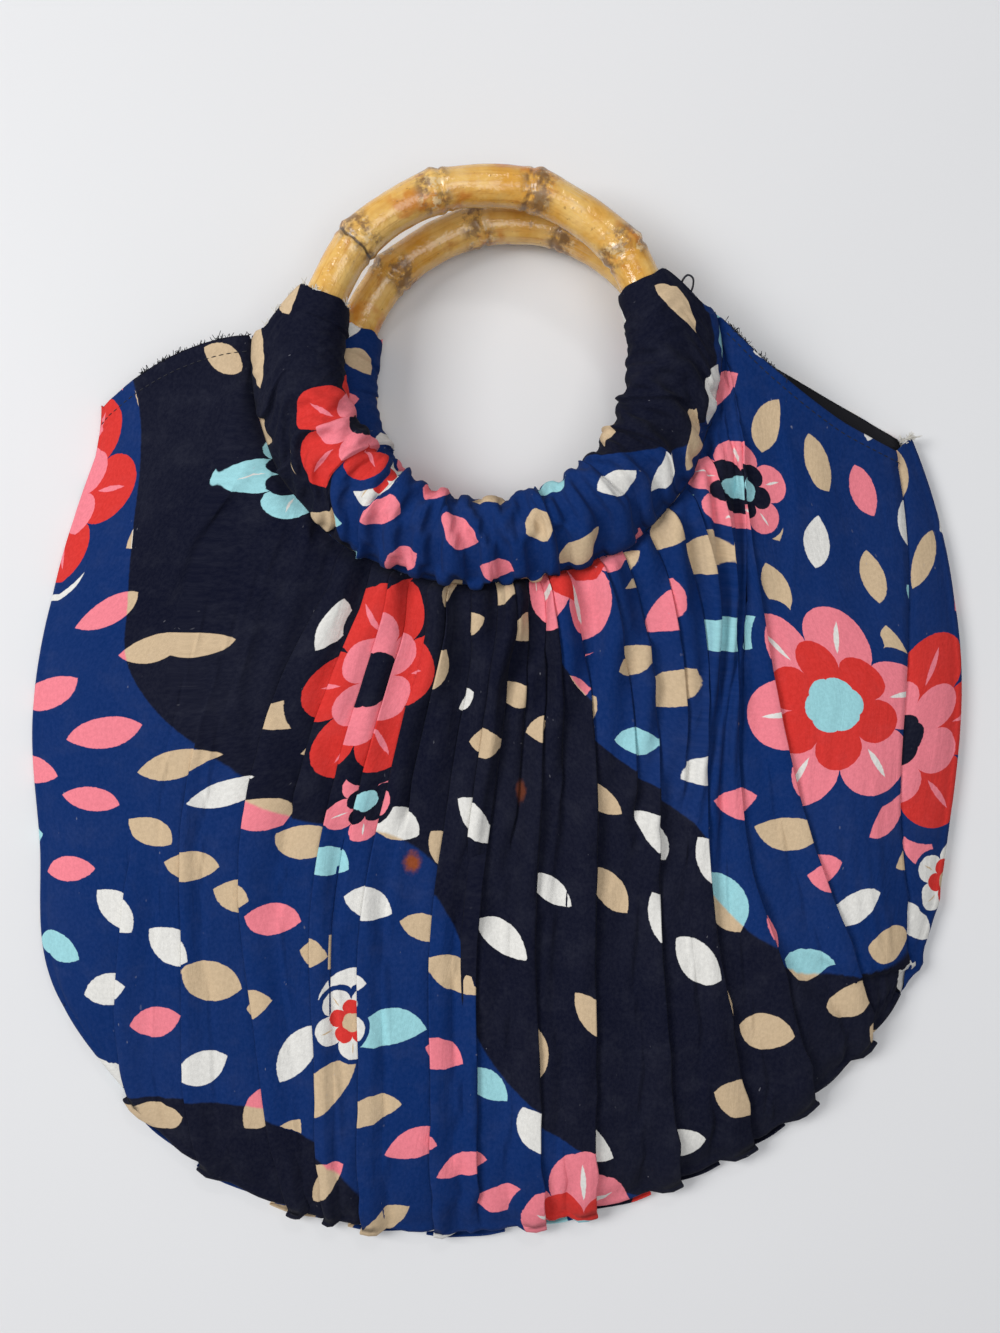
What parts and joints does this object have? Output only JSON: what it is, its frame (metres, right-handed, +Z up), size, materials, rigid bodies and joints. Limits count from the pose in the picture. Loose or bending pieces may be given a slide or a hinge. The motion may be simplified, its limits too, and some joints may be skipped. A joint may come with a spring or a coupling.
{
  "type": "ring handle tote bag",
  "caption": "Soft round cloth tote gathered onto bamboo ring handles through cloth sleeves, with pleated panels and a dark lining, lying flat on its back.",
  "frame": {"origin": "on the floor under the middle of the bounding box, with the bag lying on its back panel", "axes": "+X across the bag to the picture's right, +Y from the bottom of the bag to the handles, +Z up from the floor through the bag's thickness, front panel on top"},
  "size_m": [0.3677, 0.4134, 0.0456],
  "materials": {
    "bamboo": "lacquered bamboo cane, gloss",
    "print_cloth": "printed cotton, matt",
    "lining_cloth": "black twill, slight sheen"
  },
  "bodies": {
    "root": {"front_ring": "bamboo", "back_ring": "bamboo", "front_casing": "print_cloth", "back_casing": "print_cloth", "front_panel": "print_cloth", "back_panel": "print_cloth", "lining": "lining_cloth"}
  },
  "joints": []
}
